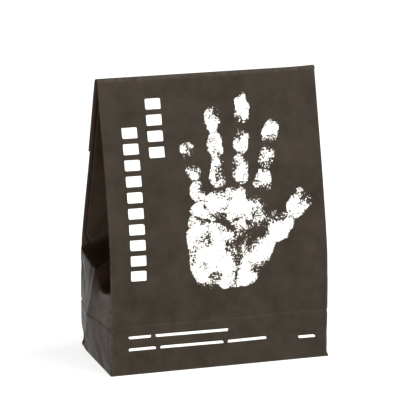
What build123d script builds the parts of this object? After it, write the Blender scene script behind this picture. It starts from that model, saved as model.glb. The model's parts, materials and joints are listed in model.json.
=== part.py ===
from build123d import *
from math import atan2, cos, degrees, hypot, sin, sqrt
import os

# A retail pack of loose gymnastics chalk: a block-bottom paper bag with side gussets, closed by folding
# its top down over the back and sealing it with a paper label, around a film bag of magnesium carbonate.
#
# The frame, in millimetres: the origin is at the centre of the base on the floor, +X runs along the wide
# front to the right as the front is faced, +Y runs from the front to the back, and +Z is up.
#
# Every panel of the folded paper blank between two of its creases is a part of its own. The walls stand
# straight up to the shoulder and then lean together to the ridge, where the top folds down the back.

# The bag as it stands, filled and closed
base_width = 140.0
base_depth = 70.0
ridge_height = 177.6
ridge_y = -6.0
shoulder_height = 62.0
gusset_apex_height = 128.0
flap_length = 50.0

# Sheet thicknesses and the room left between pieces
paper = 0.20
film = 0.10
label_paper = 0.10
glue = 0.05
ply_gap = 0.10
film_gap = 1.0
fold_start = 1.0

# Longitudinal seam down the back, and the folded bottom
seam_lap = 12.0
seam_glue_margin = 1.0
base_overlap = 24.0
base_glue_margin = 4.0
side_flap_reach = 38.0
side_flap_tip = 16.0

# Seal label over the edge of the folded top
label_width = 60.0
label_half_height = 20.0
label_corner = 3.0
label_step = 4.0

# Film bag and its fill
fill_height = 108.0
headspace = 10.0
neck_below_ridge = 19.0
neck_side_room = 5.0
neck_thickness = 0.5
lump_size = 9.0
lump_columns = 6
lump_column_pitch = 12.6
lump_row_offset = 6.75

# Worked out from the sizes above
ridge_half_gap = paper + 1.5 * ply_gap
lap_step = paper + glue
base_stack = 3 * paper + glue + 2 * ply_gap
base_half_x = base_width / 2 - paper - ply_gap
base_half_y = base_depth / 2 - paper - ply_gap
gusset_leg = base_depth / 2 - paper - 1.5 * ply_gap
back_run = base_depth / 2 - (ridge_y + ridge_half_gap + paper)
back_lean = atan2(back_run, ridge_height - shoulder_height)
flap_offsets = [2 * lap_step + ply_gap + k * (paper + ply_gap) for k in range(4)]
label_offset = flap_offsets[3] + paper
label_low_offset = lap_step + ply_gap / 2
film_top_height = fill_height + headspace
neck_height = ridge_height - neck_below_ridge
neck_width = base_width - 2 * (gusset_leg + neck_side_room)
LEFT, RIGHT = -1, 1
FRONT, BACK = -1, 1


def wall_y(side, z):
    """Y of the inner face of the front or back wall at height z."""
    at_base = side * (base_depth / 2 - paper)
    if z <= shoulder_height:
        return at_base
    at_ridge = ridge_y + side * ridge_half_gap
    return at_base + (at_ridge - at_base) * (z - shoulder_height) / (ridge_height - shoulder_height)


def mid_y(z):
    """Y midway between the two walls, where the centre crease of a gusset lies."""
    return (wall_y(FRONT, z) + wall_y(BACK, z)) / 2


def fold_share(z):
    """How far a gusset is folded in at height z: 0 where it is flat, towards 1 where its halves meet."""
    leg_depth = (wall_y(BACK, z) - wall_y(FRONT, z)) / 2 - 1.5 * ply_gap
    folded = sqrt(max(0.0, 1 - (leg_depth / gusset_leg) ** 2))
    if z >= gusset_apex_height:
        return folded
    return fold_share(gusset_apex_height) * max(0.0, z - shoulder_height) / (gusset_apex_height - shoulder_height)


def gusset_inset(z):
    """How far the centre crease of a gusset lies inside the side edge at height z."""
    return gusset_leg * fold_share(z)


def parallel(line, distance):
    """The line moved to its left by a distance, with mitred corners."""
    normals = []
    for (a, b), (c, d) in zip(line, line[1:]):
        run = hypot(c - a, d - b)
        normals.append(((b - d) / run, (c - a) / run))
    moved = []
    for i, (a, b) in enumerate(line):
        n, m = normals[max(i - 1, 0)], normals[min(i, len(normals) - 1)]
        mitre = distance / (1 + n[0] * m[0] + n[1] * m[1])
        moved.append((a + (n[0] + m[0]) * mitre, b + (n[1] + m[1]) * mitre))
    return moved


def sheet_outline(line, thickness):
    """Closed outline of a bent sheet: the line is one face, and the sheet lies to the left of it."""
    return line + parallel(line, thickness)[::-1]


def across(outline, x_from, x_to):
    """Extrudes an outline in (y, z) along X from x_from to x_to."""
    face = make_face(Polyline(*[(x_from, y, z) for y, z in outline], close=True))
    return extrude(face, amount=x_to - x_from, dir=(1, 0, 0))


def slab(x_from, x_to, y_from, y_to, z_from, z_to):
    """A flat rectangular ply between two corners."""
    size = (x_to - x_from, y_to - y_from, z_to - z_from)
    centre = ((x_from + x_to) / 2, (y_from + y_to) / 2, (z_from + z_to) / 2)
    return Pos(*centre) * Box(*size)


def front_panel():
    """Front wall: straight to the shoulder, then leaning back to the ridge."""
    outer = -base_depth / 2
    line = [(wall_y(FRONT, ridge_height) - paper, ridge_height), (outer, shoulder_height), (outer, 0)]
    return across(sheet_outline(line, paper), -base_width / 2, base_width / 2)


def back_ply(offset, thickness, x_from, x_to):
    """A ply that follows the back wall from the ridge to the floor, at an offset outside its inner face."""
    inner_face = [(wall_y(BACK, z), z) for z in (ridge_height, shoulder_height, 0)]
    return across(sheet_outline(parallel(inner_face, offset), thickness), x_from, x_to)


def back_panels():
    """Back wall in two parts, because the blank's edges meet there: the right part laps over the left."""
    edge = seam_lap / 2
    joggle_end = edge + ply_gap + paper
    left = back_ply(0, paper, -base_width / 2, edge)
    right = back_ply(0, paper, edge + ply_gap, base_width / 2)
    joggle = back_ply(0, lap_step + paper, edge + ply_gap, joggle_end)
    lap = back_ply(lap_step, paper, -edge, joggle_end)
    strip = back_ply(paper, glue, -edge + seam_glue_margin, edge - seam_glue_margin)
    return left, right + joggle + lap, strip


def gusset_half(side, face):
    """One half of a side gusset, from its edge at the wall to the centre crease."""
    levels = [0, shoulder_height, gusset_apex_height, (gusset_apex_height + ridge_height) / 2, ridge_height]
    sections = []
    for z in levels:
        share = fold_share(z)
        edge_y = wall_y(face, z) - face * ply_gap
        crease_y = mid_y(z) + face * (ply_gap / 2 + paper * share)
        inner_edge = (base_width / 2 - paper, edge_y)
        inner_crease = (base_width / 2 - paper - gusset_inset(z), crease_y)
        run = hypot(inner_crease[0] - inner_edge[0], inner_crease[1] - inner_edge[1])
        normal_x = abs(inner_crease[1] - inner_edge[1]) / run * paper
        normal_y = -face * (inner_edge[0] - inner_crease[0]) / run * paper
        corners = [inner_edge, inner_crease]
        corners += [(x + normal_x, y + normal_y) for x, y in corners[::-1]]
        sections.append(make_face(Polyline(*[(side * x, y, z) for x, y in corners], close=True)))
    return loft(sections, ruled=True)


def base_flap(fold_y, free_y, z_from):
    """A main flap of the bottom: full width at its fold, drawn in at 45 degrees towards its free edge."""
    free_half_x = base_half_x - abs(fold_y - free_y)
    corners = [(-base_half_x, fold_y), (base_half_x, fold_y), (free_half_x, free_y), (-free_half_x, free_y)]
    return extrude(make_face(Polyline(*[(x, y, z_from) for x, y in corners], close=True)), paper, dir=(0, 0, 1))


def base_flaps():
    """The folded bottom: two side flaps inside, then the front flap, and the back flap outermost."""
    lap = base_overlap / 2
    outer = base_flap(base_half_y, -lap, 0)
    inner = base_flap(-base_half_y, lap, paper + glue)
    strip_y = lap - seam_glue_margin
    strip_x = base_half_x - base_half_y - lap - base_glue_margin
    strip = slab(-strip_x, strip_x, -strip_y, strip_y, paper, paper + glue)
    sides = []
    level = 2 * paper + glue + ply_gap
    tip_y = side_flap_tip / 2
    for side in (LEFT, RIGHT):
        edge, reach = side * base_half_x, side * (base_half_x - side_flap_reach)
        corners = [(edge, -base_half_y), (edge, base_half_y), (reach, tip_y), (reach, -tip_y)]
        face = make_face(Polyline(*[(x, y, level) for x, y in corners], close=True))
        sides.append(extrude(face, paper, dir=(0, 0, 1)))
    return outer, inner, strip, sides


def fill_section(z, room):
    """Rectangle across the bag at height z, clear of the walls and of the gussets by room."""
    half_x = base_width / 2 - paper - gusset_inset(z) - room
    half_y = (wall_y(BACK, z) - wall_y(FRONT, z)) / 2 - room
    return Pos(0, mid_y(z), z) * Rectangle(2 * half_x, 2 * half_y)


def fill_body(z_from, z_to, room):
    """The space of the fill between two heights: upright to the shoulder, tapering above it."""
    levels = [z_from] + [z for z in (shoulder_height, gusset_apex_height) if z_from < z < z_to] + [z_to]
    return loft([fill_section(z, room) for z in levels], ruled=True)


def film_bag():
    """Clear film bag around the chalk, with its flattened neck standing above the fill."""
    floor = base_stack + ply_gap
    outer = fill_body(floor, film_top_height, film_gap)
    inner = fill_body(floor + film, film_top_height - film, film_gap + film)
    levels = (film_top_height - film / 2, neck_height)
    neck = loft([Pos(0, mid_y(z), z) * Rectangle(neck_width, neck_thickness) for z in levels], ruled=True)
    return outer - inner + neck


def chalk_fill():
    """Loose powder in the film bag, level at the fill height."""
    clear = film + ply_gap
    return fill_body(base_stack + ply_gap + clear, fill_height, film_gap + clear)


def broken_lump(size):
    """One lump of pressed chalk: longer than it is deep, flatter than it is wide, with worn edges."""
    length, height, worn_edge = 1.15 * size, 0.8 * size, 0.16 * size
    lump = Box(length, size, height)
    return Pos(0, 0, height / 2) * chamfer(lump.edges(), worn_edge)


def chalk_lumps():
    """Broken lumps of pressed chalk lying on top of the powder, side by side in two rows."""
    # where the bag is narrow, the rows stand halfway between its middle and the film
    lump_top = fill_height + ply_gap + lump_size
    half_room = (wall_y(BACK, lump_top) - wall_y(FRONT, lump_top)) / 2 - film_gap - film
    row_offset = min(lump_row_offset, half_room / 2)
    lumps = []
    for column in range(lump_columns):
        for row in (FRONT, BACK):
            # five sizes, from 0.62 to 0.9 of the largest lump, and a turn of its own, in a fixed order
            size = lump_size * (0.62 + 0.07 * ((3 * column + 2 * row) % 5))
            turn = Rot(0, 0, 31 * column + 17 * row)
            x = (column - (lump_columns - 1) / 2) * lump_column_pitch
            y = mid_y(fill_height) + row * row_offset
            lumps.append(Pos(x, y, fill_height + ply_gap) * turn * broken_lump(size))
    return Compound(lumps)


def on_back(s, o):
    """Point (y, z) at distance s down the back wall from the ridge and o straight out of its outer face."""
    y = ridge_y + ridge_half_gap + paper + s * sin(back_lean) + o * cos(back_lean)
    return y, ridge_height - s * cos(back_lean) + o * sin(back_lean)


def flap_ply(offset, x_from, x_to, thickness=paper, s_from=fold_start, s_to=flap_length):
    """A flat ply of the folded top, at an offset from the back wall."""
    outline = [on_back(s_from, offset), on_back(s_to, offset)]
    outline += [on_back(s_to, offset + thickness), on_back(s_from, offset + thickness)]
    return across(outline, x_from, x_to)


def folded_top():
    """The plies of the folded top, from the back wall outwards: back ply, gusset halves, front ply."""
    half = base_width / 2
    back_ply = flap_ply(flap_offsets[0], -half, half)
    back_ply += flap_ply(flap_offsets[0] - lap_step, -seam_lap / 2, seam_lap / 2, lap_step)
    parts = {"top_back_ply": back_ply, "top_front_ply": flap_ply(flap_offsets[3], -half, half)}
    for name, offset in (("back", flap_offsets[1]), ("front", flap_offsets[2])):
        for side_name, side in (("left", LEFT), ("right", RIGHT)):
            ends = sorted((side * half, side * (half - gusset_leg)))
            parts[f"top_{side_name}_gusset_{name}"] = flap_ply(offset, *ends)
    return parts


def seal_label():
    """Paper seal over the edge of the folded top: one half on the front ply, one on the back wall."""
    half = label_width / 2
    upper = flap_ply(label_offset, -half, half, label_paper, flap_length - label_half_height, flap_length)
    upper = round_corners(upper, max)
    # the free half steps down over the edges of the plies and then lies on the seam
    start = flap_length + ply_gap
    line = [on_back(start, label_offset), on_back(start + label_step, label_low_offset)]
    line += [on_back(start + label_half_height, label_low_offset)]
    tab = across(sheet_outline(line, label_paper), -half, half)
    return upper, round_corners(tab, min)


def round_corners(sheet, end):
    """Rounds the two corners at the sheet's highest or lowest end, found by max or min of their heights."""
    through_edges = sheet.edges().filter_by(lambda e: e.length < 1.5 * label_paper)
    end_height = end(e.center().Z for e in through_edges)
    chosen = [e for e in through_edges if abs(e.center().Z - end_height) < label_paper]
    return fillet(chosen, label_corner)


def save(name, shape):
    """Writes one part to the parts folder."""
    export_step(shape, f"parts/{name}.step")


def main():
    os.makedirs("parts", exist_ok=True)
    save("front_panel", front_panel())
    left, right, strip = back_panels()
    save("back_panel_left", left)
    save("back_panel_right", right)
    save("seam_glue", strip)
    for side_name, side in (("left", LEFT), ("right", RIGHT)):
        save(f"{side_name}_gusset_front", gusset_half(side, FRONT))
        save(f"{side_name}_gusset_back", gusset_half(side, BACK))
    outer, inner, strip, sides = base_flaps()
    save("base_flap_back", outer)
    save("base_flap_front", inner)
    save("base_glue", strip)
    save("base_flap_left", sides[0])
    save("base_flap_right", sides[1])
    save("film_bag", film_bag())
    save("chalk_powder", chalk_fill())
    save("chalk_lumps", chalk_lumps())
    for name, shape in folded_top().items():
        save(name, shape)
    upper, tab = seal_label()
    save("seal_label", upper)
    save("seal_tab", tab)
    print("flap hinge (y, z):", on_back(0, flap_offsets[0] / 2))
    print("mouth hinge (y, z):", on_back(fold_start, label_offset))
    print("seal hinge (y, z):", on_back(flap_length, label_offset + label_paper))
    print("back lean:", degrees(back_lean))


main()
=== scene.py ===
import bmesh
import bpy
import json
from math import atan2, cos, exp, hypot, pi, radians, sin, sqrt
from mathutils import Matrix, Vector, noise
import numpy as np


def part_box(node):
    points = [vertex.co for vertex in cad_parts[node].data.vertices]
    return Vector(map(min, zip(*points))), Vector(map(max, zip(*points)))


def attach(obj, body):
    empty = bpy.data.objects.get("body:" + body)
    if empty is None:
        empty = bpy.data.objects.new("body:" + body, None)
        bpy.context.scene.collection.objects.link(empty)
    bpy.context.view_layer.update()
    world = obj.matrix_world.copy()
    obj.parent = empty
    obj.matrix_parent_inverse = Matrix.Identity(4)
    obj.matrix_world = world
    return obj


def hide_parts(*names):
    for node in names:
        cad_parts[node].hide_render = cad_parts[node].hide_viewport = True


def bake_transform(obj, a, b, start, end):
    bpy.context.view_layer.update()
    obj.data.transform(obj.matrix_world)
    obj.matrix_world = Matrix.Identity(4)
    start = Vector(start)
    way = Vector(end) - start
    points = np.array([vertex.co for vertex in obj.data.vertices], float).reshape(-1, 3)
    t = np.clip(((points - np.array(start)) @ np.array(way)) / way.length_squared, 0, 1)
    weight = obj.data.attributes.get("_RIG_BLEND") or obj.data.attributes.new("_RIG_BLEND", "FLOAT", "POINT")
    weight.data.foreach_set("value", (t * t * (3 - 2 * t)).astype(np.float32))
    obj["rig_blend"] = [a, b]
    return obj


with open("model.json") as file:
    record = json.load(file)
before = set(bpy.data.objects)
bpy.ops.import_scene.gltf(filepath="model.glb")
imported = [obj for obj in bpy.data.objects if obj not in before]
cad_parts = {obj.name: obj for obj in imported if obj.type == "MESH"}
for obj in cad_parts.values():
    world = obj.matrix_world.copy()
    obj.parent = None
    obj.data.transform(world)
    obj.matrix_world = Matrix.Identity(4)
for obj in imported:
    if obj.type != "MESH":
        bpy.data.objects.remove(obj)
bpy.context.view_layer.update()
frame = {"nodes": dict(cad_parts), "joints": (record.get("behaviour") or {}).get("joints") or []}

# ---- Coated paper ----------------------------------------------------------------------------
# The bag is brown kraft with a near-black satin coating. The coat is a little cloudy, the fibres show
# through it as a fine grain, and along the folds it has rubbed thin, so that the brown shows. The printed
# front and the rest have the same coat; the rest is painted browner, as painted light for how it is lit
# without the front's grey sheen.

coat_dark = (0.0310, 0.0254, 0.0195, 1)
coat_light = (0.0545, 0.0445, 0.0345, 1)
# painted light: the sides, back and top are the front's own coat, painted browner for how light falls on them,
# without the front's grey sheen
painted_light_side_dark = (0.0370, 0.0225, 0.0140, 1)
painted_light_side_pale = (0.0570, 0.0360, 0.0235, 1)
fibre_brown = (0.050, 0.038, 0.028, 1)
rubbed_coat = (0.150, 0.122, 0.098, 1)
white_ink = (0.86, 0.86, 0.84, 1)
coat_sheen = 0.15


def add_node(tree, kind, inputs=None, **settings):
    """A new shader node. Its inputs are given as sockets to link from, or as values to set."""
    made = tree.nodes.new(kind)
    for name, value in settings.items():
        setattr(made, name, value)
    for key, value in (inputs or {}).items():
        if isinstance(value, bpy.types.NodeSocket):
            tree.links.new(value, made.inputs[key])
        else:
            made.inputs[key].default_value = value
    return made


def cloud(tree, place, scale, detail=3.0, roughness=0.5):
    """Noise from 0 to 1 at a scale in features a metre."""
    inputs = {"Vector": place, "Scale": scale, "Detail": detail, "Roughness": roughness}
    return add_node(tree, "ShaderNodeTexNoise", inputs).outputs["Fac"]


def spread(tree, value, low, high, to_low=0.0, to_high=1.0):
    """The value stretched from low..high to to_low..to_high, and held there outside it."""
    inputs = {"Value": value, "From Min": low, "From Max": high, "To Min": to_low, "To Max": to_high}
    return add_node(tree, "ShaderNodeMapRange", inputs).outputs["Result"]


def sums(tree, operation, first, second=0.0):
    """One arithmetic node."""
    return add_node(tree, "ShaderNodeMath", {0: first, 1: second}, operation=operation).outputs[0]


def mixed(tree, share, first, second):
    """Two colours mixed by a share."""
    made = add_node(tree, "ShaderNodeMix", {"Factor": share}, data_type="RGBA")
    for socket, value in zip((made.inputs[6], made.inputs[7]), (first, second)):
        if isinstance(value, bpy.types.NodeSocket):
            tree.links.new(value, socket)
        else:
            socket.default_value = value
    return made.outputs[2]


def new_material(name):
    """An empty material with its output, and the shader that feeds it."""
    material = bpy.data.materials.new(name)
    material.use_nodes = True
    tree = material.node_tree
    tree.nodes.clear()
    shader = tree.nodes.new("ShaderNodeBsdfPrincipled")
    output = tree.nodes.new("ShaderNodeOutputMaterial")
    tree.links.new(shader.outputs["BSDF"], output.inputs["Surface"])
    return material, tree, shader


def bumps(tree, height, distance, under=None):
    """A bump of a height in metres, on top of another bump."""
    inputs = {"Height": height, "Distance": distance, "Strength": 1.0}
    if under:
        inputs["Normal"] = under
    return add_node(tree, "ShaderNodeBump", inputs).outputs["Normal"]


def coated_paper(name, dark, light, ink=None):
    """Satin near-black paper. ink builds the share of white print from the tree, if there is any."""
    material, tree, shader = new_material(name)
    place = add_node(tree, "ShaderNodeTexCoord").outputs["Object"]
    fold = add_node(tree, "ShaderNodeAttribute", attribute_name="fold").outputs["Fac"]
    cloudy = spread(tree, cloud(tree, place, 60, 6, 0.66), 0.32, 0.68)
    fibre = cloud(tree, place, 1100, 4)
    grain = cloud(tree, place, 4200, 2)
    colour = mixed(tree, cloudy, dark, light)
    colour = mixed(tree, spread(tree, fibre, 0.45, 0.8, 0.0, 0.35), colour, fibre_brown)
    patchy = spread(tree, cloud(tree, place, 420, 4), 0.30, 0.65)
    rubbed = sums(tree, "MULTIPLY", spread(tree, fold, 0.15, 1.0), patchy)
    colour = mixed(tree, sums(tree, "MULTIPLY", rubbed, 0.52), colour, rubbed_coat)
    rough = spread(tree, cloud(tree, place, 130, 4), 0.3, 0.7, 0.36, 0.46)
    rough = sums(tree, "ADD", rough, sums(tree, "MULTIPLY", rubbed, 0.2))
    normal = bumps(tree, fibre, 0.00004)
    normal = bumps(tree, grain, 0.000012, normal)
    if ink:
        print_share = ink(tree)
        colour = mixed(tree, print_share, colour, white_ink)
        rough = sums(tree, "ADD", rough, sums(tree, "MULTIPLY", print_share, 0.12))
        normal = bumps(tree, print_share, 0.00001, normal)
    tree.links.new(colour, shader.inputs["Base Color"])
    tree.links.new(rough, shader.inputs["Roughness"])
    tree.links.new(normal, shader.inputs["Normal"])
    shader.inputs["Specular IOR Level"].default_value = coat_sheen
    return material


# ---- Print on the front wall -----------------------------------------------------------------
# White ink, printed flat on the paper before it was folded: an open hand pressed in chalk, built here from
# plain rounded pads, a column of blocks down the left, and thin bars along the foot. No lettering.

finger_pads = []


def add_finger(base, lean, widths, lengths):
    """The pads of a finger, from its base outwards, with a bare crease between one joint and the next."""
    x, z = base
    for width, length in zip(widths, lengths):
        middle = (x + sin(lean) * length / 2, z + cos(lean) * length / 2)
        finger_pads.append((middle, width / 2, length / 2, lean))
        x += sin(lean) * (length - 0.0002)
        z += cos(lean) * (length - 0.0002)


# base of each finger, its lean from upright in degrees, its width and its length
for base_x, base_z, lean_degrees, width, length in (
    (0.0265, 0.1060, 12, 0.0106, 0.046),
    (0.0135, 0.1130, 4, 0.0110, 0.052),
    (0.0000, 0.1115, -3, 0.0106, 0.048),
    (-0.0125, 0.1030, -12, 0.0094, 0.036),
):
    joints = (length * 0.36, length * 0.31, length * 0.35)
    add_finger((base_x, base_z), radians(lean_degrees), (width, width * 0.94, width * 0.96), joints)
add_finger((0.0340, 0.0800), radians(40), (0.0140, 0.0135), (0.018, 0.020))

# middle of each pad of the palm, half its width and height, and its lean in degrees
palm_pads = [
    ((x, z), wide, high, radians(lean_degrees))
    for x, z, wide, high, lean_degrees in (
        (0.0240, 0.0770, 0.0115, 0.0230, 26),
        (-0.0085, 0.0750, 0.0120, 0.0260, -8),
        (0.0230, 0.0985, 0.0085, 0.0085, 12),
        (0.0110, 0.1030, 0.0088, 0.0090, 0),
        (-0.0010, 0.1005, 0.0085, 0.0090, -6),
        (-0.0115, 0.0945, 0.0078, 0.0085, -12),
        (0.0075, 0.0590, 0.0185, 0.0090, 0),
        (0.0080, 0.0880, 0.0095, 0.0100, 0),
        (0.0070, 0.0715, 0.0060, 0.0080, 0),
    )
]

# Creases of the palm, left bare: middle and radius of the arc each follows, and the x it runs between
palm_creases = [
    ((0.0440, 0.0560), 0.0330, 0.0090, 0.0310),
    ((0.0010, 0.1320), 0.0410, -0.0210, 0.0150),
    ((0.0230, 0.1280), 0.0430, -0.0110, 0.0290),
]
crease_half_width = 0.00035
hand_middle, hand_lean = (0.007, 0.080), radians(3)
pad_squareness = 2.3


def hand_gap(x, z):
    """Distance from a place on the sheet to the edge of the nearest pad, below 0 inside a pad."""
    out_x, out_z = x - hand_middle[0], z - hand_middle[1]
    x = hand_middle[0] + out_x * cos(hand_lean) - out_z * sin(hand_lean)
    z = hand_middle[1] + out_x * sin(hand_lean) + out_z * cos(hand_lean)
    nearest = 1.0
    for (pad_x, pad_z), wide, high, lean in finger_pads + palm_pads:
        across = (x - pad_x) * cos(lean) - (z - pad_z) * sin(lean)
        along = (x - pad_x) * sin(lean) + (z - pad_z) * cos(lean)
        reach = ((abs(across) / wide) ** pad_squareness + (abs(along) / high) ** pad_squareness)
        nearest = min(nearest, (reach ** (1 / pad_squareness) - 1) * wide)
    for (arc_x, arc_z), radius, x_from, x_to in palm_creases:
        if x_from < x < x_to:
            off_arc = abs(hypot(x - arc_x, z - arc_z) - radius)
            nearest = max(nearest, crease_half_width - off_arc)
    return nearest


block_height, block_pitch = 0.0062, 0.0094
thin_bar = 0.0016
bars = []
for left, right, top, count in ((-0.0405, -0.0310, 0.1660, 4), (-0.0565, -0.0470, 0.1500, 10)):
    for k in range(count):
        block_top = top - k * block_pitch
        bars.append((left, block_top - block_height, right, block_top))
for left, right, level in (
    (-0.058, -0.044, 0.0232),
    (-0.041, 0.005, 0.0232),
    (-0.058, -0.041, 0.0157),
    (-0.038, 0.002, 0.0157),
    (0.005, 0.030, 0.0157),
    (0.051, 0.062, 0.0140),
):
    bars.append((left, level - thin_bar / 2, right, level + thin_bar / 2))


def bar_gap(x, z):
    """Distance from a place on the sheet to the nearest bar's edge, below 0 inside a bar."""
    nearest = 1.0
    for left, bottom, right, top in bars:
        out_x, out_z = max(left - x, x - right), max(bottom - z, z - top)
        outside = hypot(max(out_x, 0), max(out_z, 0))
        nearest = min(nearest, outside + min(max(out_x, out_z), 0))
    return nearest


def front_ink(tree):
    """Share of white ink. The hand is ragged at its edges and thin in patches, as chalk leaves it."""
    place = add_node(tree, "ShaderNodeTexCoord").outputs["Object"]
    gap = add_node(tree, "ShaderNodeAttribute", attribute_name="hand_gap").outputs["Fac"]
    solid = add_node(tree, "ShaderNodeAttribute", attribute_name="bar_gap").outputs["Fac"]
    ragged = cloud(tree, place, 900, 4, 0.65)
    sway = cloud(tree, place, 170, 3)
    dry = cloud(tree, place, 80, 3)
    gap = sums(tree, "ADD", gap, spread(tree, sway, 0.3, 0.7, -0.0010, 0.0010))
    gap = sums(tree, "ADD", gap, spread(tree, ragged, 0.3, 0.7, -0.0006, 0.0006))
    body = spread(tree, gap, -0.0001, 0.0001, 1.0, 0.0)
    thin = spread(tree, dry, 0.46, 0.62)
    rim = spread(tree, gap, -0.0035, 0.0, 0.0, 0.10)
    bare = sums(tree, "ADD", sums(tree, "MULTIPLY", thin, 0.21), rim)
    speckle = spread(tree, sums(tree, "SUBTRACT", ragged, bare), 0.34, 0.39)
    chalky = sums(tree, "MULTIPLY", body, speckle)
    return sums(tree, "MAXIMUM", chalky, spread(tree, solid, 0.0, 0.0001, 1.0, 0.0))


# the unprinted paper: the front's coat with painted light, made browner than the front
plain_paper_with_painted_light = coated_paper("coated_paper", painted_light_side_dark, painted_light_side_pale)
printed_paper = coated_paper("printed_paper", coat_dark, coat_light, front_ink)

# ---- The sleeve: walls and side gussets ------------------------------------------------------
# One sheet of paper runs round the bag and laps over itself down the middle of the back. The factory creases
# it down the corners, down the middle of each gusset and across near the foot. It is shaped here as one
# sheet on a fine grid, then parted into its panels. Above the shoulder the walls lean to the ridge.

FRONT, BACK = -1, 1
LEFT, RIGHT = -1, 1
wall_low, wall_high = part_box("front_panel")
half_width = wall_high.x
half_depth = -wall_low.y
ridge_z = wall_high.z
paper = 0.0002
cell = 0.001
lap = 0.006
shoulder_z = 0.062
base_crease_z = 0.030

top_hinge, mouth_hinge, seal_hinge = [Vector(joint["pos_m"]) for joint in frame["joints"]]
wall_lean = atan2(seal_hinge.y - mouth_hinge.y, mouth_hinge.z - seal_hinge.z)
down_wall = Vector((0, sin(wall_lean), -cos(wall_lean)))
off_wall = Vector((0, cos(wall_lean), sin(wall_lean)))
hinge_off_wall = 0.0003
ridge_y = {FRONT: wall_high.y - paper, BACK: (top_hinge - hinge_off_wall * off_wall).y}
ridge_mid_y = (ridge_y[FRONT] + ridge_y[BACK]) / 2

# How far each upper corner bows out of its straight line, and the height above which it is straight again
corner_bow = {(FRONT, LEFT): 0.0034, (FRONT, RIGHT): 0.0017, (BACK, LEFT): 0.0008, (BACK, RIGHT): 0.0008}
bow_top = {FRONT: ridge_z, BACK: 0.118}
swell = {FRONT: 0.0017, BACK: 0.0015}
swell_top = {FRONT: 0.150, BACK: 0.104}


def hold(value, low=0.0, high=1.0):
    """The value, held between two limits."""
    return max(low, min(high, value))


def corner_y(face, side, z):
    """Y of one of the bag's four upright folds at height z."""
    share = (z - shoulder_z) / (ridge_z - shoulder_z)
    lean = (share + sqrt(share * share + 0.002)) / 2
    y = face * half_depth + (ridge_y[face] - face * half_depth) * lean
    up_bow = hold((z - shoulder_z) / (bow_top[face] - shoulder_z))
    return y + face * corner_bow[face, side] * sin(pi * up_bow**0.7)


def wall_point(face, x, z):
    """A point on the front or back wall, which the powder swells a little."""
    share = (x / half_width + 1) / 2
    y = corner_y(face, LEFT, z) * (1 - share) + corner_y(face, RIGHT, z) * share
    crown = (1 - (x / half_width) ** 2) * sin(pi * hold(z / swell_top[face]))
    return Vector((x, y + face * swell[face] * crown, z))


def tuck(z):
    """How far a gusset lies behind its wall at the fold between them: none where they stand square."""
    return 0.00045 * hold((z - shoulder_z) / 0.04)


# Up the middle crease of a gusset: height, how far out of the side it stands, how far back, for the left.
# It bellies out at the foot, where the powder pushes, and folds in above the shoulder.
apex_z = 0.130
shoulder_crease_z = 0.0575
middle_crease = [
    (0.0, 0.0010, 0.0210),
    (0.0290, 0.0034, 0.0050),
    (0.0435, 0.0014, 0.0010),
    (shoulder_crease_z, -0.0012, 0.0),
    (0.066, -0.0130, 0.0),
    (0.078, -0.0215, -0.0005),
    (0.104, -0.0280, -0.0010),
    (apex_z, -0.0308, -0.0016),
    (ridge_z, -0.03465, ridge_mid_y),
]


def crease_point(side, z):
    """A point up the middle crease of a gusset."""
    for (z0, out0, y0), (z1, out1, y1) in zip(middle_crease, middle_crease[1:]):
        if z <= z1:
            share = (z - z0) / (z1 - z0)
            out = out0 + (out1 - out0) * share
            y = y0 + (y1 - y0) * share
            return Vector((side * (half_width + out), y if side == LEFT or z > 0.05 else 0.4 * y, z))
    return Vector((side * (half_width + out1), y1, ridge_z))


# Where the slanting fold of each gusset half leaves the upright fold
slant_start = {FRONT: 0.0525, BACK: 0.065}
slant_sag = {FRONT: 0.0060, BACK: 0.0}
pocket_depth = {FRONT: 0.0, BACK: 0.0095}


def gusset_point(side, face, q, z):
    """A point on half a gusset, q from its upright fold at 0 to the middle crease at 1."""
    start = slant_start[face]
    levels = [(0, 0), (base_crease_z, 0.0290), (start - 0.0015, shoulder_crease_z), (start + 0.0015, apex_z)]
    levels.append((ridge_z, ridge_z))
    heights = [edge + (crease - edge) * q for edge, crease in levels]
    sag = slant_sag[face] * sin(pi * q**1.4)
    heights[2] -= sag
    heights[3] -= sag
    k = max(i for i in range(len(levels) - 1) if heights[i] <= z + 1e-9)
    share = (z - heights[k]) / (heights[k + 1] - heights[k])
    edge_z = levels[k][0] + (levels[k + 1][0] - levels[k][0]) * share
    crease_z = levels[k][1] + (levels[k + 1][1] - levels[k][1]) * share
    edge = Vector((side * half_width, corner_y(face, side, edge_z) - face * tuck(edge_z), edge_z))
    point = edge.lerp(crease_point(side, crease_z), q)
    if k == 2:
        point.x -= side * pocket_depth[face] * sin(pi * q) * sin(pi * share)
    point.z = z
    return point


# Round the sheet from the seam: right half of the back, right gusset, front, left gusset, left half of back
right_fold = half_width
front_right = right_fold + 2 * half_depth
front_left = front_right + 2 * half_width
left_fold = front_left + 2 * half_depth
sheet_end = left_fold + half_width
seam_step = 0.00025


def sleeve_point(a, z):
    """Where the point a round the sheet and z up it lies on the bag."""
    near = 1e-6
    if a < right_fold + near:
        point = wall_point(BACK, a, z)
        point += off_wall * seam_step * hold((lap + 0.0012 - a) / 0.0012)
    elif a < front_right - near:
        q = (a - right_fold) / half_depth
        point = gusset_point(RIGHT, BACK, q, z) if q <= 1 else gusset_point(RIGHT, FRONT, 2 - q, z)
    elif a < front_left + near:
        point = wall_point(FRONT, front_right + half_width - a, z)
    elif a < left_fold - near:
        q = (a - front_left) / half_depth
        point = gusset_point(LEFT, FRONT, q, z) if q <= 1 else gusset_point(LEFT, BACK, 2 - q, z)
    else:
        point = wall_point(BACK, a - sheet_end, z)
    for fold, face in ((right_fold, BACK), (front_right, FRONT), (front_left, FRONT), (left_fold, BACK)):
        if abs(a - fold) < near:
            point.y -= face * tuck(z) / 2
    return point


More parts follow.
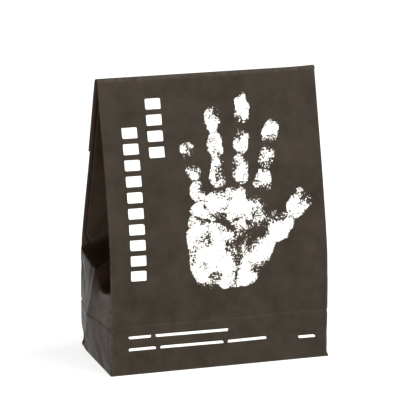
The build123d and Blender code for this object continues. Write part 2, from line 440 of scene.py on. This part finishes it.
# Dents and soft wrinkles: the two ends of each, how deep and how wide, as x and z on the front wall
front_wrinkles = [
    ((0.072, 0.086), (0.050, 0.073), 0.0007, 0.0035),
    ((0.068, 0.070), (0.040, 0.064), -0.0003, 0.0030),
    ((-0.062, 0.066), (0.015, 0.059), 0.00022, 0.0030),
    ((-0.020, 0.045), (0.055, 0.049), 0.00020, 0.0035),
    ((0.044, 0.160), (0.052, 0.105), 0.0004, 0.0060),
    ((0.060, 0.150), (0.063, 0.100), -0.0003, 0.0040),
    ((-0.066, 0.150), (-0.050, 0.110), 0.00035, 0.0050),
    ((-0.072, 0.016), (-0.052, -0.002), 0.00035, 0.0030),
    ((0.072, 0.012), (0.060, 0.001), 0.0005, 0.0030),
]
back_wrinkles = [
    ((-0.072, 0.080), (-0.040, 0.070), 0.0006, 0.0035),
    ((0.072, 0.060), (0.035, 0.052), 0.0005, 0.0040),
    ((0.015, 0.044), (0.060, 0.040), 0.00025, 0.0030),
    ((-0.055, 0.050), (-0.015, 0.058), 0.00025, 0.0030),
    ((0.072, 0.014), (0.056, 0.000), 0.0004, 0.0030),
]


# The same on the left gusset, as y and z: a pinched ridge down the middle crease, with hollows beside it
gusset_wrinkles = [
    ((0.0005, 0.0570), (0.0025, 0.0440), -0.0012, 0.0022),
    ((0.0065, 0.0590), (0.0090, 0.0470), 0.0011, 0.0034),
    ((-0.0090, 0.0560), (-0.0075, 0.0470), 0.0012, 0.0042),
    ((0.0310, 0.0520), (0.0160, 0.0380), 0.0007, 0.0040),
    ((-0.0330, 0.0200), (-0.0120, 0.0120), 0.0006, 0.0050),
    ((0.0050, 0.0290), (-0.0200, 0.0420), -0.0005, 0.0040),
    ((0.0220, 0.0000), (0.0100, 0.0220), -0.0006, 0.0030),
    ((-0.0200, 0.0000), (-0.0100, 0.0180), 0.0005, 0.0040),
]


def wrinkle_depth(wrinkles, x, z):
    """Depth of all wrinkles at a place on a wall."""
    depth = 0.0
    for (x0, z0), (x1, z1), deep, wide in wrinkles:
        run_x, run_z = x1 - x0, z1 - z0
        along = hold(((x - x0) * run_x + (z - z0) * run_z) / (run_x**2 + run_z**2))
        gap = hypot(x - x0 - run_x * along, z - z0 - run_z * along)
        depth += deep * exp(-((gap / wide) ** 2)) * (1 - 0.8 * along**2)
    return depth


# Heights of the crumples over large, middling and small stretches of paper, and how much a gusset has more.
# The seam down the back and the wall under the folded top lie flat.
large_crumple, middle_crumple, small_crumple = 0.00070, 0.00050, 0.00014
gusset_crumple = 1.7
front_crumple = 0.0003
flat_under_top_z = 0.106
flat_by_seam = 0.010
foot_lean_in, foot_lean_above = 0.0019, 0.030
wall_crease_depth, gusset_crease_depth, crease_width = 0.00028, 0.00050, 0.0009
right_gusset_share = 0.6


def relief(a, z, point):
    """How far the paper stands out of its flat panels: soft clouds, wrinkles and pressed creases."""
    folds = (right_fold, front_right, front_left, left_fold)
    from_fold = min(abs(a - fold) for fold in folds)
    calm = hold(from_fold / 0.014) * hold(z / 0.010) * hold((ridge_z - z) / 0.020)
    on_back = a < right_fold or a > left_fold
    on_front = front_right < a < front_left
    off_seam = abs(point.x) - flat_by_seam
    if on_back:
        calm *= hold((flat_under_top_z - z) / 0.012) * hold(off_seam / 0.010)
    large = noise.noise(point * 13.0 + Vector((0.0, 2.3, 5.9)))
    middling = noise.noise(point * 30.0 + Vector((3.1, 7.7, 0.0)))
    small = noise.noise(point * 85.0)
    more = 1.0 if on_back or on_front else gusset_crumple
    out = calm * (large_crumple * large + more * (middle_crumple * middling + small_crumple * small))
    if on_front:
        out += calm * front_crumple * middling - hold(z / 0.004) * wrinkle_depth(front_wrinkles, point.x, z)
        # the wall leans in a little to the crease near the foot, from above and from below
        near_crease = hold(min(z / base_crease_z, 1 - (z - base_crease_z) / foot_lean_above))
        out -= foot_lean_in * hold(from_fold / 0.012) * near_crease
    if on_back:
        off_edge = hold(z / 0.004) * hold(off_seam / 0.008)
        out -= off_edge * wrinkle_depth(back_wrinkles, point.x, z)
    if not on_back and not on_front:
        share = 1.0 if a > front_left else right_gusset_share
        out -= hold(z / 0.003) * wrinkle_depth(gusset_wrinkles, share * point.y, z) * share
    pressed = exp(-(((z - base_crease_z) / crease_width) ** 2))
    return out - (wall_crease_depth if on_back or on_front else gusset_crease_depth) * pressed


thin_wear = 0.0008


def worn(most, gap, reach):
    """The wear at a gap from a fold, which has the most of it and fades over a reach."""
    return most * exp(-((gap / reach) ** 2))


def fold_wear(a, z):
    """How rubbed the coating is: up to 1 on a fold, 0 two millimetres off it."""
    upright = min(abs(a - fold) for fold in (right_fold, front_right, front_left, left_fold))
    middle = min(abs(a - right_fold - half_depth), abs(a - front_left - half_depth))
    on_gusset = right_fold < a < front_right or front_left < a < left_fold
    return max(
        worn(1 - 0.6 * hold((z - 0.05) / 0.05), upright, 0.0012),
        worn(1.0 if on_gusset else 0.45, z - base_crease_z, crease_width),
        worn(0.9, middle, thin_wear),
        worn(0.7, z, 0.001),
        # the top edge along the ridge is made lighter as well, up to 0.6, over about a millimetre
        worn(0.6, ridge_z - z, 0.0012),
    )


sheet = bmesh.new()
columns = round((sheet_end + 2 * lap) / cell)
rows = round(ridge_z / cell)
bmesh.ops.create_grid(sheet, x_segments=columns, y_segments=rows, size=0.5)
around = sheet.verts.layers.float.new("around")
up = sheet.verts.layers.float.new("up")
fold = sheet.verts.layers.float.new("fold")
for v in sheet.verts:
    v[around] = (v.co.x + 0.5) * (sheet_end + 2 * lap) - lap
    v[up] = (v.co.y + 0.5) * ridge_z
    v[fold] = fold_wear(v[around], v[up])
    v.co = sleeve_point(v[around], v[up])
for _ in range(2):
    bmesh.ops.smooth_vert(sheet, verts=sheet.verts, factor=0.4, use_axis_x=True, use_axis_y=True)
sheet.normal_update()
foremost = min(sheet.verts, key=lambda v: v.co.y)
if foremost.normal.y > 0:
    bmesh.ops.reverse_faces(sheet, faces=sheet.faces)
    sheet.normal_update()
moves = [v.normal * relief(v[around], v[up], v.co) for v in sheet.verts]
for v, move in zip(sheet.verts, moves):
    v.co += move
dent = Vector((-half_width, half_depth - 0.005, 0.006))
dent_way = Vector((1, -0.6, 0)).normalized()
dent_depth, dent_reach = 0.0030, 0.0055
ear = Vector((half_width, -half_depth, 0.0))
ear_way = Vector((0.0012, -0.0004, 0))
ear_reach = 0.0022
turn_under = 0.00035


def corner_dent(point, z):
    """The push on a point near the back left corner of the foot, which is knocked in just off the floor."""
    return dent_way * dent_depth * exp(-(((point - dent).length / dent_reach) ** 2)) * hold(z / 0.003)


# the foot turns under onto the floor, and its front right corner sticks out as an ear
for v in sheet.verts:
    if v[up] < cell / 2:
        inward = -v.normal
        inward.z = 0
        v.co += inward.normalized() * turn_under
    v.co += corner_dent(v.co, v[up])
    v.co += ear_way * exp(-(((v.co - ear).length / ear_reach) ** 2))


def panel(start, end):
    """A copy of the sheet between two places round it."""
    part = sheet.copy()
    layer = part.verts.layers.float["around"]
    outside = [f for f in part.faces if not start < sum(v[layer] for v in f.verts) / 4 < end]
    bmesh.ops.delete(part, geom=outside, context="FACES")
    return part


def top_edges(part, start, end):
    """The part's top edge between two places round the sheet."""
    layer, height = part.verts.layers.float["around"], part.verts.layers.float["up"]
    found = []
    for e in part.edges:
        if all(v[height] > ridge_z - cell / 2 and start < v[layer] < end for v in e.verts):
            found.append(e)
    return found


def curl_over(part, edges, places):
    """Extrudes a row of edges to each of the places (y, z) in turn, and returns the last row."""
    height = part.verts.layers.float["up"]
    for y, z in places:
        grown = bmesh.ops.extrude_edge_only(part, edges=edges)["geom"]
        for v in grown:
            if isinstance(v, bmesh.types.BMVert):
                step = hypot(v.co.y - y, v.co.z - z)
                v.co.y, v.co.z = y, z
                v[height] += step
        ends = {v for v in grown if isinstance(v, bmesh.types.BMVert)}
        edges = [e for e in grown if isinstance(e, bmesh.types.BMEdge) and set(e.verts) <= ends]
    return edges


def new_piece(name, part, material):
    """A smooth object in the scene, made from a shape and one material."""
    for face in part.faces:
        face.smooth = True
    mesh = bpy.data.meshes.new(name)
    part.to_mesh(mesh)
    part.free()
    mesh.materials.append(material)
    piece = bpy.data.objects.new(name, mesh)
    bpy.context.scene.collection.objects.link(piece)
    return piece


def sheet_piece(name, part, material, thickness=paper):
    """A finished sheet of paper, with its thickness inside its outer face."""
    piece = new_piece(name, part, material)
    solidify = piece.modifiers.new("thickness", "SOLIDIFY")
    solidify.thickness = thickness
    solidify.offset = -1
    return piece


def arc_over(radius, start_angle, end_angle, steps):
    """Places (y, z) on an arc about the ridge hinge, angles from the back over the top."""
    angles = [start_angle + (end_angle - start_angle) * k / steps for k in range(steps + 1)]
    return [(top_hinge.y + radius * cos(t), top_hinge.z + radius * sin(t)) for t in angles]


wrap = 2.5 * cell
front_lean = atan2(ridge_y[FRONT] + half_depth, ridge_z - shoulder_z)
crown_radius = 0.0014
crown = arc_over(crown_radius, pi - front_lean, wall_lean, 12)
open_at_right = 0.0006

front = panel(front_right - wrap, front_left + wrap)
last_row = curl_over(front, top_edges(front, front_right - cell / 2, front_left + cell / 2), crown)
curl_over(front, last_row, [(mouth_hinge.y, mouth_hinge.z)])
hand, rules = front.verts.layers.float.new("hand_gap"), front.verts.layers.float.new("bar_gap")
lay, height = front.verts.layers.float["around"], front.verts.layers.float["up"]
for v in front.verts:
    x = front_right + half_width - v[lay]
    v[hand] = hand_gap(x, v[height])
    v[rules] = bar_gap(x, v[height])
# towards its right end the fold at the ridge stands a little open
for v in front.verts:
    if v[height] > ridge_z:
        over = sin(pi * hold((v[height] - ridge_z) / 0.004))
        v.co.z += open_at_right * hold((v.co.x - 0.050) / 0.020) ** 2 * over
front_wall = sheet_piece("front_wall", front, printed_paper)
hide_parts("front_panel")
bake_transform(front_wall, "bag", "flap_back", start=(0, crown[0][0], ridge_z), end=(0, crown[-1][0], ridge_z))

for side_name, start, end in (("right", right_fold, front_right), ("left", front_left, left_fold)):
    gusset = sheet_piece(f"{side_name}_gusset", panel(start + wrap, end - wrap), plain_paper_with_painted_light)
    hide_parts(f"{side_name}_gusset_front", f"{side_name}_gusset_back")
    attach(gusset, "bag")

seam_side = {"right": (-2 * lap, right_fold + wrap), "left": (left_fold - wrap, sheet_end + 2 * lap)}
for side_name, (start, end) in seam_side.items():
    back = sheet_piece(f"back_wall_{side_name}", panel(start, end), plain_paper_with_painted_light)
    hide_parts(f"back_panel_{side_name}")
    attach(back, "bag")
sheet.free()

# ---- Folded top ------------------------------------------------------------------------------
# The mouth of the bag, pressed flat and folded down over the back wall in four layers: the back ply against
# the wall, the two halves of each gusset, and the front ply outside. Its right corner springs off a little.

flap_start, flap_length = 0.001, 0.050
wall_top = top_hinge - hinge_off_wall * off_wall
right_corner_spring = 0.0013
back_ply_off, front_ply_base = 0.0008, 0.0017
front_ply_wave = 0.00022
bellows_back, bellows_front = 0.00098, 0.00135
gusset_leg = half_depth - 0.00035
folded_paper = 0.00012


def lift(x, s):
    """How far the right corner of the folded top springs off the back wall."""
    spring = right_corner_spring if x > 0 else 0.0
    return spring * (abs(x) / half_width) ** 3 * (s / flap_length) ** 2


def flap_point(x, s, off):
    """A point s down the back wall from the ridge and off it. The layers lie closer towards their edge."""
    point = wall_top + down_wall * s + off_wall * off * (1 - 0.2 * hold(s / flap_length))
    point.x = x
    return point


def flap_grid(x_from, x_to, s_from, s_to, off):
    """A layer of the folded top. off(x, s) is how far its outer face stands off the wall."""
    part = bmesh.new()
    across, along = round(abs(x_to - x_from) / cell), round((s_to - s_from) / cell)
    bmesh.ops.create_grid(part, x_segments=across, y_segments=along, size=0.5)
    lay, height = part.verts.layers.float.new("around"), part.verts.layers.float.new("up")
    wear = part.verts.layers.float.new("fold")
    for v in part.verts:
        x = x_from + (x_to - x_from) * (v.co.x + 0.5)
        s = s_to - (s_to - s_from) * (v.co.y + 0.5)
        v[lay], v[height] = x, ridge_z - s
        edge = min(half_width - abs(x), flap_length - s)
        v[wear] = worn(1.0, edge, thin_wear)
        v.co = flap_point(x, s, off(x, s))
    part.normal_update()
    faces_out = sum(f.normal.dot(off_wall) for f in part.faces)
    if faces_out < 0:
        bmesh.ops.reverse_faces(part, faces=part.faces)
    return part


def front_ply_off(x, s):
    """The outer face of the front ply: clear of the layers under it, and gently waved."""
    wave = front_ply_wave * noise.noise(Vector((x * 32, s * 32, 4.0))) * hold(s / 0.012)
    return front_ply_base + lift(x, s) + abs(wave)


ply = flap_grid(-half_width, half_width, flap_start, flap_length, front_ply_off)
front_ply = sheet_piece("top_front_ply_paper", ply, plain_paper_with_painted_light)
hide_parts("top_front_ply")
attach(front_ply, "flap_front")

ply = flap_grid(-half_width, half_width, flap_start, flap_length, lambda x, s: back_ply_off)
back_ply = sheet_piece("top_back_ply_paper", ply, plain_paper_with_painted_light)
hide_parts("top_back_ply")
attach(back_ply, "flap_back")

# each gusset is one bellows: from the back ply's side edge in to its middle crease and out to the front ply's
for side_name, side in (("left", LEFT), ("right", RIGHT)):
    part = bmesh.new()
    bmesh.ops.create_grid(part, x_segments=70, y_segments=49, size=0.5)
    wear = part.verts.layers.float.new("fold")
    for v in part.verts:
        q = (v.co.x + 0.5) * 2
        s = flap_length - (flap_length - flap_start) * (v.co.y + 0.5)
        x = side * (half_width - gusset_leg * (1 - abs(1 - q)))
        sprung = lift(side * half_width, s) * hold(q - 1) ** 2
        off = bellows_back + (bellows_front - bellows_back) * q / 2 + sprung
        v[wear] = worn(1.0, abs(1 - q) * gusset_leg, thin_wear)
        v.co = flap_point(x, s, off)
    bellows = sheet_piece(f"top_{side_name}_gusset", part, plain_paper_with_painted_light, thickness=folded_paper)
    bellows.modifiers["thickness"].offset = 0
    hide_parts(f"top_{side_name}_gusset_back", f"top_{side_name}_gusset_front")
    foot = flap_point(0, flap_start, bellows_back)
    across_bellows = off_wall * (bellows_front - bellows_back)
    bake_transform(bellows, "flap_back", "flap_front", start=foot, end=foot + across_bellows)

# Over the ridge, inside the front sheet, the back wall and the two halves of each gusset turn down as well.
# Each curl starts inside the bag, this far in from the back wall's outer face.
inner_back_half, inner_front_half = 0.00035, 0.00070
curl_steps = 8
curls = [("back_fold", -0.5 * paper, back_ply_off - 0.5 * paper, -half_width, half_width)]
for side_name, side in (("left", LEFT), ("right", RIGHT)):
    ends = sorted((side * half_width, side * (half_width - gusset_leg)))
    curls.append((f"{side_name}_gusset_back_fold", -inner_back_half, bellows_back, *ends))
    curls.append((f"{side_name}_gusset_front_fold", -inner_front_half, bellows_front, *ends))
for name, off_from, off_to, x_from, x_to in curls:
    centre_off, radius = (off_from + off_to) / 2, (off_to - off_from) / 2
    centre = wall_top + off_wall * centre_off
    part = bmesh.new()
    start = centre - off_wall * radius
    ends = [part.verts.new((x, start.y, start.z)) for x in (x_from, x_to)]
    row = [part.edges.new(ends)]
    for k in range(1, curl_steps + 2):
        angle = pi * k / curl_steps
        place = centre - off_wall * radius * cos(angle) - down_wall * radius * sin(angle)
        if k > curl_steps:
            place = wall_top + off_wall * off_to + down_wall * flap_start
        grown = bmesh.ops.extrude_edge_only(part, edges=row)["geom"]
        for v in grown:
            if isinstance(v, bmesh.types.BMVert):
                v.co.y, v.co.z = place.y, place.z
        row = [e for e in grown if isinstance(e, bmesh.types.BMEdge) and e.is_boundary
               and all(v in grown for v in e.verts)]
    fold_piece = sheet_piece(name, part, plain_paper_with_painted_light, thickness=folded_paper)
    fold_piece.modifiers["thickness"].offset = 0
    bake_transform(fold_piece, "bag", "flap_back", start=start, end=centre + off_wall * radius)

# ---- Seal label ------------------------------------------------------------------------------
# A blank white paper sticker with rounded corners, half on the folded top and half on the back wall.
# It bends over the cut edge of the top, and the lap of the seam shows through its lower half.

label_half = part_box("seal_label")[1].x
label_reach = 0.020
label_corner = 0.003
label_step = 0.004
label_paper = 0.0001
off_plain_wall, off_seam_more = 0.00020, 0.00022
seam_shows_to, seam_fades_over = 0.0085, 0.002


def label_off(x, s):
    """The label's outer face: on the front ply, then down over its edge onto the wall."""
    high = front_ply_off(x, min(s, flap_length)) + label_paper
    low = off_plain_wall + off_seam_more * hold((seam_shows_to - abs(x)) / seam_fades_over)
    share = hold((s - flap_length - 0.0002) / label_step)
    return high + (low - high) * share * share * (3 - 2 * share)


def label_material():
    """Matte white label paper with a faint tooth."""
    material, tree, shader = new_material("label_paper")
    place = add_node(tree, "ShaderNodeTexCoord").outputs["Object"]
    tooth = cloud(tree, place, 1800, 3)
    tint = spread(tree, cloud(tree, place, 120, 3), 0.3, 0.7)
    white = mixed(tree, tint, (0.76, 0.755, 0.74, 1), (0.83, 0.825, 0.81, 1))
    tree.links.new(white, shader.inputs["Base Color"])
    tree.links.new(bumps(tree, tooth, 0.00002), shader.inputs["Normal"])
    tree.links.new(spread(tree, tooth, 0.3, 0.7, 0.5, 0.62), shader.inputs["Roughness"])
    return material


label_top, label_foot = flap_length - label_reach, flap_length + label_reach
label = flap_grid(-label_half, label_half, label_top, label_foot, label_off)
height = label.verts.layers.float["up"]
for v in label.verts:
    s = ridge_z - v[height]
    into_corner = hold(label_corner - min(s - label_top, label_foot - s), 0, label_corner)
    short = label_corner - sqrt(hold(label_corner**2 - into_corner**2))
    v.co.x *= (label_half - short) / label_half
seal = sheet_piece("seal_sticker", label, label_material(), thickness=label_paper)
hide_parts("seal_label", "seal_tab")
label_off_wall, label_bend = front_ply_base + label_paper, 0.0004
bend_start = flap_point(0, flap_length - label_bend, label_off_wall)
bend_end = flap_point(0, flap_length + label_bend, label_off_wall)
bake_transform(seal, "flap_front", "seal_tab", start=bend_start, end=bend_end)

# ---- Glue ------------------------------------------------------------------------------------
# Thin lines of dried starch glue: a strip under the lap of the back seam, and a patch between the flaps of
# the bottom.


def glue_material():
    """Dried glue: pale brown, a little glossy, uneven."""
    material, tree, shader = new_material("dried_glue")
    place = add_node(tree, "ShaderNodeTexCoord").outputs["Object"]
    streaks = cloud(tree, place, 350, 4)
    dried = spread(tree, streaks, 0.3, 0.7)
    colour = mixed(tree, dried, (0.42, 0.33, 0.20, 1), (0.55, 0.46, 0.32, 1))
    tree.links.new(colour, shader.inputs["Base Color"])
    tree.links.new(spread(tree, streaks, 0.3, 0.7, 0.3, 0.5), shader.inputs["Roughness"])
    tree.links.new(bumps(tree, streaks, 0.00003), shader.inputs["Normal"])
    return material


dried_glue = glue_material()
glue_thickness = 0.00005
glue_half = lap - 0.001
strip = bmesh.new()
bmesh.ops.create_grid(strip, x_segments=10, y_segments=170, size=0.5)
for v in strip.verts:
    x, z = v.co.x * 2 * glue_half, 0.001 + (v.co.y + 0.5) * (ridge_z - 0.002)
    v.co = sleeve_point(sheet_end + x, z)
    v.co += off_wall * (relief(sheet_end + x, z, v.co) + glue_thickness)
bmesh.ops.recalc_face_normals(strip, faces=strip.faces)
if next(iter(strip.faces)).normal.y < 0:
    bmesh.ops.reverse_faces(strip, faces=strip.faces)
bead = sheet_piece("seam_glue_strip", strip, dried_glue, thickness=glue_thickness)
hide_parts("seam_glue")
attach(bead, "bag")

# ---- Folded bottom ---------------------------------------------------------------------------
# The block bottom: the foot of the sleeve folded in flat, with two side flaps inside, the front flap over
# them and the back flap outermost, stuck down with a patch of glue. The model's own flaps and glue patch are
# kept as they are and given paper and glue.

base_flaps = ["base_flap_left", "base_flap_right", "base_flap_front", "base_flap_back"]
for name in base_flaps + ["base_glue"]:
    node = frame["nodes"][name]
    node.data.materials.clear()
    node.data.materials.append(dried_glue if name == "base_glue" else plain_paper_with_painted_light)

# ---- Film bag --------------------------------------------------------------------------------
# A clear polythene bag holds the powder inside the paper. It follows the walls up to the top of the fill,
# then gathers into a flat pleated neck that stands between the folded gussets.

film_low, film_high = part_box("film_bag")
lump_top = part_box("chalk_lumps")[1].z
film_gap = 0.0015
gather_from, gather_to = lump_top + 0.001, lump_top + 0.013
neck_half = 0.030
neck_flatness = 0.05
pleat_depth, pleat_pitch = 0.0011, 0.014
column_width = half_depth / 10
narrow_from, narrow_over = 0.045, 0.060
foot_narrowing, foot_narrow_below, foot_narrow_over = 0.02, 0.016, 0.010
film_sheet = 0.00006


def lining(gap, z_from, z_to, rows, narrowing):
    """A closed tube that lies a gap inside the sleeve, and stays out of its corners as they narrow."""
    part = bmesh.new()
    bmesh.ops.create_grid(part, x_segments=round(sheet_end / column_width), y_segments=rows, size=0.5)
    lay, height = part.verts.layers.float.new("around"), part.verts.layers.float.new("up")
    for v in part.verts:
        v[lay], v[height] = (v.co.x + 0.5) * sheet_end, z_from + (v.co.y + 0.5) * (z_to - z_from)
        v.co = sleeve_point(v[lay], v[height])
    part.normal_update()
    if min(part.verts, key=lambda v: v.co.y).normal.y > 0:
        bmesh.ops.reverse_faces(part, faces=part.faces)
        part.normal_update()
    moves = [v.normal * (relief(v[lay], v[height], v.co) - gap) for v in part.verts]
    for v, move in zip(part.verts, moves):
        v.co += move
        upper = narrowing * hold((v[height] - narrow_from) / narrow_over)
        lower = foot_narrowing * hold((foot_narrow_below - v[height]) / foot_narrow_over)
        v.co.x *= 1 - upper - lower
        front_limit = wall_point(FRONT, v.co.x, v[height]).y + gap
        back_limit = wall_point(BACK, v.co.x, v[height]).y - gap
        v.co.y = hold(v.co.y, front_limit, back_limit)
        v.co += corner_dent(v.co, v[height])
        if min(v[lay], sheet_end - v[lay]) < 1e-6:
            v.co.x = 0
    bmesh.ops.remove_doubles(part, verts=part.verts, dist=0.0005)
    upright = [v for v in part.verts if v[height] < narrow_from]
    for _ in range(4):
        bmesh.ops.smooth_vert(part, verts=upright, factor=0.5, use_axis_x=True, use_axis_y=True)
    return part


def middle_y(z):
    """Y midway between the front and back walls at height z."""
    return (corner_y(FRONT, LEFT, z) + corner_y(BACK, LEFT, z)) / 2


def clear_film():
    """Thin clear polythene: mostly see-through, glossy and finely creased."""
    material, tree, shader = new_material("clear_film")
    place = add_node(tree, "ShaderNodeTexCoord").outputs["Object"]
    creases = cloud(tree, place, 260, 4, 0.6)
    tree.links.new(spread(tree, creases, 0.3, 0.7, 0.18, 0.38), shader.inputs["Alpha"])
    tree.links.new(spread(tree, creases, 0.3, 0.7, 0.08, 0.22), shader.inputs["Roughness"])
    tree.links.new(bumps(tree, creases, 0.0006), shader.inputs["Normal"])
    shader.inputs["Base Color"].default_value = (0.88, 0.90, 0.91, 1)
    return material


film = lining(film_gap, film_low.z + 0.0001, film_high.z, 62, 0.16)
lay, height = film.verts.layers.float["around"], film.verts.layers.float["up"]
bmesh.ops.smooth_vert(film, verts=film.verts, factor=0.4, use_axis_x=True, use_axis_y=True)
for v in film.verts:
    gathered = hold((v[height] - gather_from) / (gather_to - gather_from))
    gathered = gathered * gathered * (3 - 2 * gathered)
    deepest_midway = gathered * (1 - gathered) * 4 + 0.25 * gathered
    pleat = pleat_depth * deepest_midway * sin(v[lay] * 2 * pi / pleat_pitch)
    centre_y = middle_y(v[height])
    v.co.x *= 1 - gathered * (1 - neck_half / half_width)
    flat_y = centre_y + (v.co.y - centre_y) * neck_flatness + pleat
    v.co.y += (flat_y - v.co.y) * gathered


def close_foot(part, foot_z):
    """Closes the open end of a tube at its foot."""
    height = part.verts.layers.float["up"]
    low = [e for e in part.edges if e.is_boundary and all(v[height] < foot_z + 0.001 for v in e.verts)]
    bmesh.ops.contextual_create(part, geom=low)


close_foot(film, film_low.z)
film_piece = sheet_piece("film_sack", film, clear_film(), thickness=film_sheet)
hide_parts("film_bag")
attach(film_piece, "bag")

# ---- Chalk -----------------------------------------------------------------------------------
# Loose powdered magnesium carbonate, settled against the film and mounded in the middle, with broken lumps
# of pressed chalk lying on it.

powder_low, powder_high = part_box("chalk_powder")
powder_gap = 0.0026
powder_rim_z = 0.098
mound_half_x, mound_half_y = 0.050, 0.022
crumble_height = 0.0012


def chalk():
    """Matte white powder: soft clouds of shade and a fine crumbly surface."""
    material, tree, shader = new_material("chalk")
    place = add_node(tree, "ShaderNodeTexCoord").outputs["Object"]
    crumbs = cloud(tree, place, 700, 5, 0.65)
    tint = spread(tree, cloud(tree, place, 90, 4), 0.3, 0.7)
    white = mixed(tree, tint, (0.80, 0.795, 0.78, 1), (0.89, 0.885, 0.875, 1))
    tree.links.new(white, shader.inputs["Base Color"])
    tree.links.new(bumps(tree, crumbs, 0.0012), shader.inputs["Normal"])
    tree.links.new(spread(tree, crumbs, 0.3, 0.7, 0.88, 1.0), shader.inputs["Roughness"])
    shader.inputs["Specular IOR Level"].default_value = 0.2
    return material


def mound_z(x, y):
    """Height of the top of the powder."""
    out = (x / mound_half_x) ** 2 + ((y - middle_y(powder_high.z)) / mound_half_y) ** 2
    crumble = crumble_height * noise.noise(Vector((x * 70, y * 70, 9.0)))
    return powder_rim_z + (powder_high.z - powder_rim_z - 0.001) * exp(-out) + crumble


chalk_material = chalk()
powder = lining(powder_gap, powder_low.z + 0.0003, powder_rim_z, 34, 0.30)
for _ in range(3):
    bmesh.ops.smooth_vert(powder, verts=powder.verts, factor=0.4, use_axis_x=True, use_axis_y=True)
close_foot(powder, powder_low.z)
rim = [e for e in powder.edges if e.is_boundary]
middle = Vector((0, middle_y(powder_rim_z), powder_rim_z))
rings = 12
for k in range(1, rings):
    grown = bmesh.ops.extrude_edge_only(powder, edges=rim)["geom"]
    for v in grown:
        if isinstance(v, bmesh.types.BMVert):
            v.co = v.co.lerp(middle, 1 / (rings - k + 1))
            v.co.z = powder_rim_z + (mound_z(v.co.x, v.co.y) - powder_rim_z) * hold(k / 3)
    rim = [e for e in grown if isinstance(e, bmesh.types.BMEdge) and e.is_boundary]
tip = bmesh.ops.contextual_create(powder, geom=rim)["faces"]
bmesh.ops.poke(powder, faces=tip)
bmesh.ops.recalc_face_normals(powder, faces=powder.faces)


heap = new_piece("powder_heap", powder, chalk_material)
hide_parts("chalk_powder")
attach(heap, "bag")

# two rows of six lumps, in five sizes, each sunk a little in the powder
lump_columns, lump_pitch, lump_row_offset = 6, 0.0113, 0.0065
smallest_lump, lump_size_step = 0.0036, 0.0004
lumps = bmesh.new()
for k in range(2 * lump_columns):
    column, row = k % lump_columns, (FRONT, BACK)[k // lump_columns]
    size = smallest_lump + lump_size_step * ((3 * column + 2 * row) % 5)
    x = (column - (lump_columns - 1) / 2) * lump_pitch
    y = middle_y(powder_high.z) + row * lump_row_offset
    place = Vector((x, y, mound_z(x, y) + size * 0.35))
    made = bmesh.ops.create_icosphere(lumps, subdivisions=3, radius=1.0)["verts"]
    for v in made:
        way = v.co.normalized()
        facets = 0.30 * noise.noise(way * 1.3 + Vector((k * 7.1, 0, 0)))
        facets += 0.10 * noise.noise(way * 4 + Vector((k, 5, 0)))
        v.co = place + Vector((way.x * 1.15, way.y, way.z * 0.8)) * size * (0.95 + facets)
broken_lumps = new_piece("pressed_lumps", lumps, chalk_material)
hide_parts("chalk_lumps")
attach(broken_lumps, "bag")

# ---- Floor, light and camera -----------------------------------------------------------------
# A plain white studio table that glows a little, so that the bag's shadow on it stays pale, soft boxes to
# the right and overhead, a low warm one in front, and a long lens.

floor_material, _, floor_shader = new_material("white_floor")
floor_shader.inputs["Base Color"].default_value = (0.40, 0.40, 0.40, 1)
floor_shader.inputs["Roughness"].default_value = 0.9
floor_shader.inputs["Emission Color"].default_value = (1, 1, 1, 1)
floor_shader.inputs["Emission Strength"].default_value = 0.70
table_top = bmesh.new()
bmesh.ops.create_grid(table_top, x_segments=1, y_segments=1, size=6.0)
floor = new_piece("floor", table_top, floor_material)

# The room is bright to the front right and above, and dim behind and to the left
world = bpy.data.worlds.new("studio")
bpy.context.scene.world = world
world.use_nodes = True
room = world.node_tree
toward = add_node(room, "ShaderNodeTexCoord").outputs["Generated"]
window_side = {0: toward, 1: (0.50, -0.75, 0.43)}
facing = add_node(room, "ShaderNodeVectorMath", window_side, operation="DOT_PRODUCT").outputs["Value"]
brightness = spread(room, facing, 0.15, 1.0, 0.01, 1.0)
room.links.new(brightness, room.nodes["Background"].inputs["Strength"])
room.nodes["Background"].inputs["Color"].default_value = (1, 1, 1, 1)


def soft_light(name, place, target, size, power, tint=(1, 1, 1)):
    """A square soft box aimed at a point."""
    light = bpy.data.lights.new(name, "AREA")
    light.shape = "SQUARE"
    light.size = size
    light.energy = power
    light.color = tint
    lamp = bpy.data.objects.new(name, light)
    lamp.location = place
    lamp.rotation_euler = (Vector(target) - Vector(place)).to_track_quat("-Z", "Y").to_euler()
    bpy.context.scene.collection.objects.link(lamp)


middle = (0, 0, ridge_z / 2)
soft_light("key", (0.9, -1.1, 1.5), middle, 1.2, 14)
soft_light("top", (0.95, -0.2, 1.6), middle, 1.0, 12)
soft_light("low fill", (-0.35, -1.7, 0.15), middle, 0.8, 10.5, (1.0, 0.86, 0.72))

camera_azimuth, camera_height, camera_distance = radians(-17.28), radians(14.49), 1.615
target = Vector((-0.00223, 0, 0.0975))
level = cos(camera_height)
back_way = Vector((sin(camera_azimuth) * level, -cos(camera_azimuth) * level, sin(camera_height)))
camera_data = bpy.data.cameras.new("camera")
camera_data.lens = 234.8
camera_data.sensor_width = 36
camera = bpy.data.objects.new("camera", camera_data)
camera.location = target + back_way * camera_distance
camera.rotation_euler = (-back_way).to_track_quat("-Z", "Y").to_euler()
bpy.context.scene.collection.objects.link(camera)
bpy.context.scene.camera = camera
bpy.context.scene.view_settings.view_transform = "Standard"
bpy.context.scene.view_settings.look = "Medium High Contrast"
